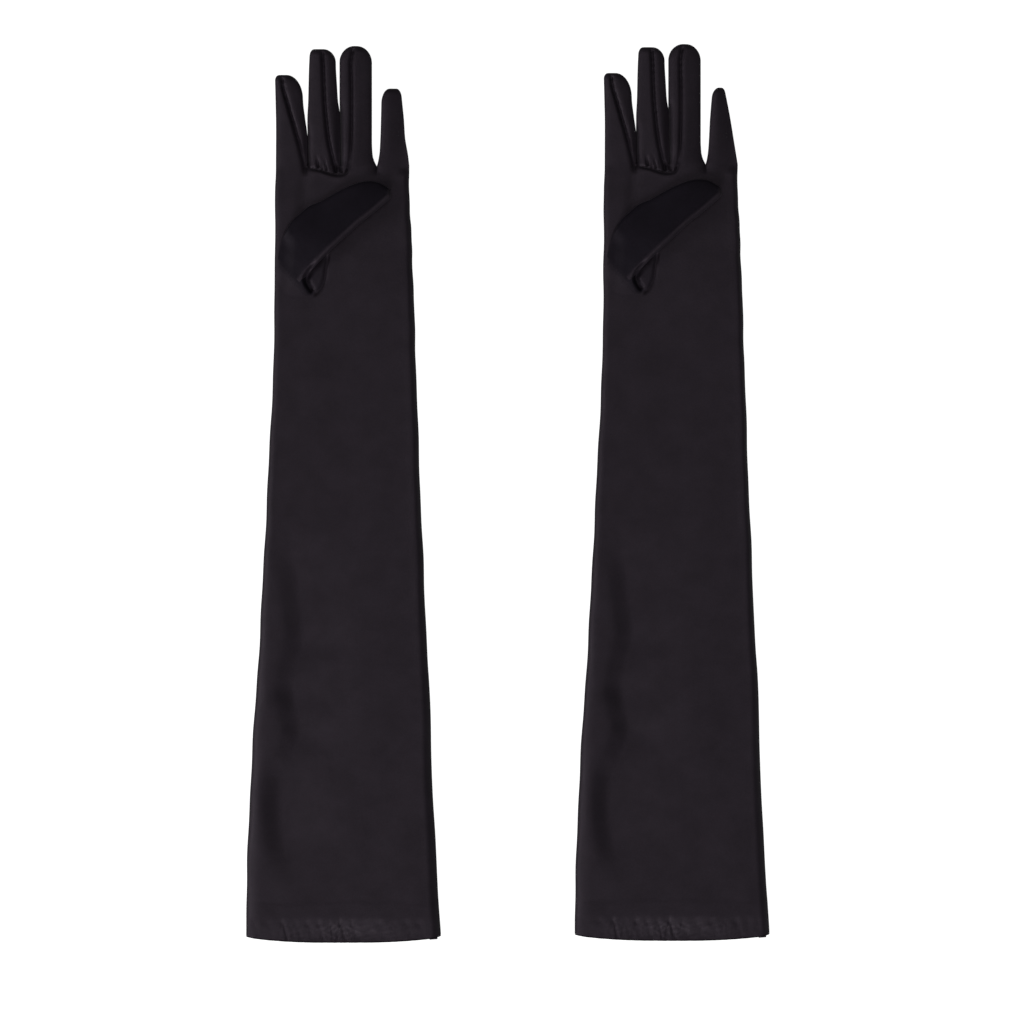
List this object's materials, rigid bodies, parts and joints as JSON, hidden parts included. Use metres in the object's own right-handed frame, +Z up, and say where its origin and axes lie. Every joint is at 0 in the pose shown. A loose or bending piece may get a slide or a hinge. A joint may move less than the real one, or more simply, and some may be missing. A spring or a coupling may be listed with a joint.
{
  "type": "opera gloves",
  "caption": "Pair of elbow-length black satin opera gloves lying flat, palm up, each with a set-in thumb folded over the palm and strips between the fingers.",
  "frame": {"origin": "on the table, at the centre of the pair", "axes": "+Y from the arm openings to the fingers, +Z up through the palms, +X towards the little fingers"},
  "size_m": [0.3217, 0.551, 0.0156],
  "materials": {
    "black_satin": "near-black satin with a soft sheen",
    "black_thread": "matt overlocked thread"
  },
  "bodies": {
    "glove1_upper_arm": {"glove1_upper_sleeve": "black_satin", "glove1_hem_facing": "black_satin", "glove1_upper_side_seam": "black_thread"},
    "glove1_forearm": {"glove1_forearm_sleeve": "black_satin", "glove1_forearm_side_seam": "black_thread"},
    "glove1_hand": {"glove1_hand_trank": "black_satin", "glove1_hand_side_seam": "black_thread", "glove1_thumb_hole_seam": "black_satin"},
    "glove1_index": {"glove1_index_trank": "black_satin", "glove1_index_fourchette": "black_satin"},
    "glove1_middle": {"glove1_middle_palm_face": "black_satin", "glove1_middle_back_face": "black_satin", "glove1_middle_fourchette_index_side": "black_satin", "glove1_middle_fourchette_ring_side": "black_satin"},
    "glove1_ring": {"glove1_ring_palm_face": "black_satin", "glove1_ring_back_face": "black_satin", "glove1_ring_fourchette_middle_side": "black_satin", "glove1_ring_fourchette_little_side": "black_satin"},
    "glove1_little": {"glove1_little_palm_face": "black_satin", "glove1_little_back_face": "black_satin", "glove1_little_fourchette": "black_satin", "glove1_little_side_seam": "black_thread"},
    "glove1_thumb": {"glove1_thumb": "black_satin", "glove1_thumb_seam": "black_thread"},
    "glove2_upper_arm": {"glove2_upper_sleeve": "black_satin", "glove2_hem_facing": "black_satin", "glove2_upper_side_seam": "black_thread"},
    "glove2_forearm": {"glove2_forearm_sleeve": "black_satin", "glove2_forearm_side_seam": "black_thread"},
    "glove2_hand": {"glove2_hand_trank": "black_satin", "glove2_hand_side_seam": "black_thread", "glove2_thumb_hole_seam": "black_satin"},
    "glove2_index": {"glove2_index_trank": "black_satin", "glove2_index_fourchette": "black_satin"},
    "glove2_middle": {"glove2_middle_palm_face": "black_satin", "glove2_middle_back_face": "black_satin", "glove2_middle_fourchette_index_side": "black_satin", "glove2_middle_fourchette_ring_side": "black_satin"},
    "glove2_ring": {"glove2_ring_palm_face": "black_satin", "glove2_ring_back_face": "black_satin", "glove2_ring_fourchette_middle_side": "black_satin", "glove2_ring_fourchette_little_side": "black_satin"},
    "glove2_little": {"glove2_little_palm_face": "black_satin", "glove2_little_back_face": "black_satin", "glove2_little_fourchette": "black_satin", "glove2_little_side_seam": "black_thread"},
    "glove2_thumb": {"glove2_thumb": "black_satin", "glove2_thumb_seam": "black_thread"}
  },
  "joints": [
    {"name": "glove1_elbow", "type": "hinge", "parent": "glove1_upper_arm", "child": "glove1_forearm", "pos_m": [-0.10125, -0.1385, 0.0085], "axis": [1, 0, 0], "range_deg": [0, 140]},
    {"name": "glove1_wrist", "type": "hinge", "parent": "glove1_forearm", "child": "glove1_hand", "pos_m": [-0.10125, 0.0965, 0.0075], "axis": [1, 0, 0], "range_deg": [0, 80]},
    {"name": "glove1_index_knuckle", "type": "hinge", "parent": "glove1_hand", "child": "glove1_index", "pos_m": [-0.10125, 0.1987, 0.0072], "axis": [1, 0, 0], "range_deg": [0, 90]},
    {"name": "glove1_middle_knuckle", "type": "hinge", "parent": "glove1_hand", "child": "glove1_middle", "pos_m": [-0.10125, 0.1987, 0.0072], "axis": [1, 0, 0], "range_deg": [0, 90]},
    {"name": "glove1_ring_knuckle", "type": "hinge", "parent": "glove1_hand", "child": "glove1_ring", "pos_m": [-0.10125, 0.1987, 0.0072], "axis": [1, 0, 0], "range_deg": [0, 90]},
    {"name": "glove1_little_knuckle", "type": "hinge", "parent": "glove1_hand", "child": "glove1_little", "pos_m": [-0.10125, 0.1987, 0.0072], "axis": [1, 0, 0], "range_deg": [0, 90]},
    {"name": "glove1_thumb_lift", "type": "hinge", "parent": "glove1_hand", "child": "glove1_thumb", "pos_m": [-0.1307, 0.1282, 0.0094], "axis": [0.6743, -0.7385, 0], "range_deg": [0, 90]},
    {"name": "glove2_elbow", "type": "hinge", "parent": "glove2_upper_arm", "child": "glove2_forearm", "pos_m": [0.10125, -0.1373, 0.0085], "axis": [1, 0, 0], "range_deg": [0, 140]},
    {"name": "glove2_wrist", "type": "hinge", "parent": "glove2_forearm", "child": "glove2_hand", "pos_m": [0.10125, 0.0977, 0.0075], "axis": [1, 0, 0], "range_deg": [0, 80]},
    {"name": "glove2_index_knuckle", "type": "hinge", "parent": "glove2_hand", "child": "glove2_index", "pos_m": [0.10125, 0.1999, 0.0072], "axis": [1, 0, 0], "range_deg": [0, 90]},
    {"name": "glove2_middle_knuckle", "type": "hinge", "parent": "glove2_hand", "child": "glove2_middle", "pos_m": [0.10125, 0.1999, 0.0072], "axis": [1, 0, 0], "range_deg": [0, 90]},
    {"name": "glove2_ring_knuckle", "type": "hinge", "parent": "glove2_hand", "child": "glove2_ring", "pos_m": [0.10125, 0.1999, 0.0072], "axis": [1, 0, 0], "range_deg": [0, 90]},
    {"name": "glove2_little_knuckle", "type": "hinge", "parent": "glove2_hand", "child": "glove2_little", "pos_m": [0.10125, 0.1999, 0.0072], "axis": [1, 0, 0], "range_deg": [0, 90]},
    {"name": "glove2_thumb_lift", "type": "hinge", "parent": "glove2_hand", "child": "glove2_thumb", "pos_m": [0.0718, 0.1294, 0.0094], "axis": [0.6743, -0.7385, 0], "range_deg": [0, 90]},
    {"name": "glove2_lift_off", "type": "slide", "parent": "glove1_upper_arm", "child": "glove2_upper_arm", "axis": [0, 0, 1], "range_m": [0, 0.15]}
  ]
}
